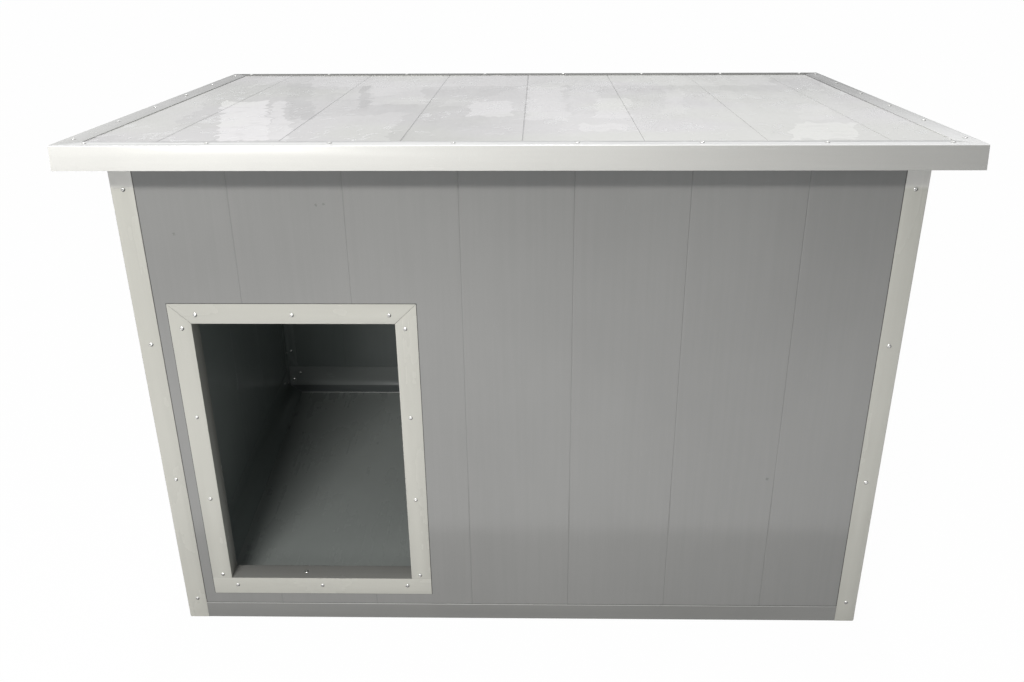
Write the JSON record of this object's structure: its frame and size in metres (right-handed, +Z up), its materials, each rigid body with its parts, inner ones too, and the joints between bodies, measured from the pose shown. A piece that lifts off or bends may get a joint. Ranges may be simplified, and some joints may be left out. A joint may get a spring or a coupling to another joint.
{
  "type": "dog house",
  "caption": "Insulated dog house of grey sandwich panels with light riveted edge trims, an open framed doorway at the left of the front, and a rear-hinged single-slope roof that lifts.",
  "frame": {"origin": "on the ground, in the middle of the roof's outline seen from above", "axes": "+X to the right along the front, +Y from the front to the back, +Z up; the doorway is in the front wall at the -X end"},
  "size_m": [1.5, 1.1062, 1.0683],
  "materials": {
    "wall_sheet": "satin",
    "inner_sheet": "satin",
    "floor_sheet": "satin",
    "base_sheet": "satin",
    "lining": "satin",
    "trim": "satin",
    "roof_trim": "satin",
    "roof_sheet": "gloss",
    "foam": "matte",
    "seal": "matte",
    "hinge_steel": "satin",
    "rivet": "satin"
  },
  "bodies": {
    "house": {"front_wall_outer_sheet": "wall_sheet", "front_wall_foam": "foam", "front_wall_inner_sheet": "inner_sheet", "base_rail_front": "base_sheet", "skirting_front": "inner_sheet", "back_wall_outer_sheet": "wall_sheet", "back_wall_foam": "foam", "back_wall_inner_sheet": "inner_sheet", "base_rail_back": "base_sheet", "skirting_back": "inner_sheet", "left_wall_outer_sheet": "wall_sheet", "left_wall_foam": "foam", "left_wall_inner_sheet": "inner_sheet", "base_rail_left": "base_sheet", "skirting_left": "inner_sheet", "right_wall_outer_sheet": "wall_sheet", "right_wall_foam": "foam", "right_wall_inner_sheet": "inner_sheet", "base_rail_right": "base_sheet", "skirting_right": "inner_sheet", "corner_trim_front_left": "trim", "inner_corner_front_left": "inner_sheet", "corner_trim_front_right": "trim", "inner_corner_front_right": "inner_sheet", "corner_trim_back_left": "trim", "inner_corner_back_left": "inner_sheet", "corner_trim_back_right": "trim", "inner_corner_back_right": "inner_sheet", "floor_bottom_sheet": "floor_sheet", "floor_top_sheet": "floor_sheet", "floor_foam": "foam", "doorway_strip_top": "trim", "doorway_strip_bottom": "trim", "doorway_strip_left": "trim", "doorway_strip_right": "trim", "doorway_lining_left": "lining", "doorway_lining_right": "lining", "doorway_lining_top": "lining", "doorway_sill": "lining", "roof_seal": "seal", "hinge_left_wall_leaf": "hinge_steel", "hinge_middle_wall_leaf": "hinge_steel", "hinge_right_wall_leaf": "hinge_steel", "hinge_pins": "hinge_steel", "corner_rivets": "rivet", "doorway_rivets": "rivet", "inside_rivets": "rivet", "hinge_wall_rivets": "rivet"},
    "roof": {"roof_trim_front": "roof_trim", "roof_trim_back": "roof_trim", "roof_trim_left": "roof_trim", "roof_trim_right": "roof_trim", "roof_top_sheet": "roof_sheet", "roof_ceiling_sheet": "inner_sheet", "roof_foam": "foam", "roof_rivets": "rivet", "hinge_roof_rivets": "rivet", "hinge_left_roof_leaf": "hinge_steel", "hinge_middle_roof_leaf": "hinge_steel", "hinge_right_roof_leaf": "hinge_steel"}
  },
  "joints": [
    {"name": "roof_hinge", "type": "hinge", "parent": "house", "child": "roof", "pos_m": [0, 0.45236, 0.87691], "axis": [-1, 0, 0], "range_deg": [0, 85]}
  ]
}
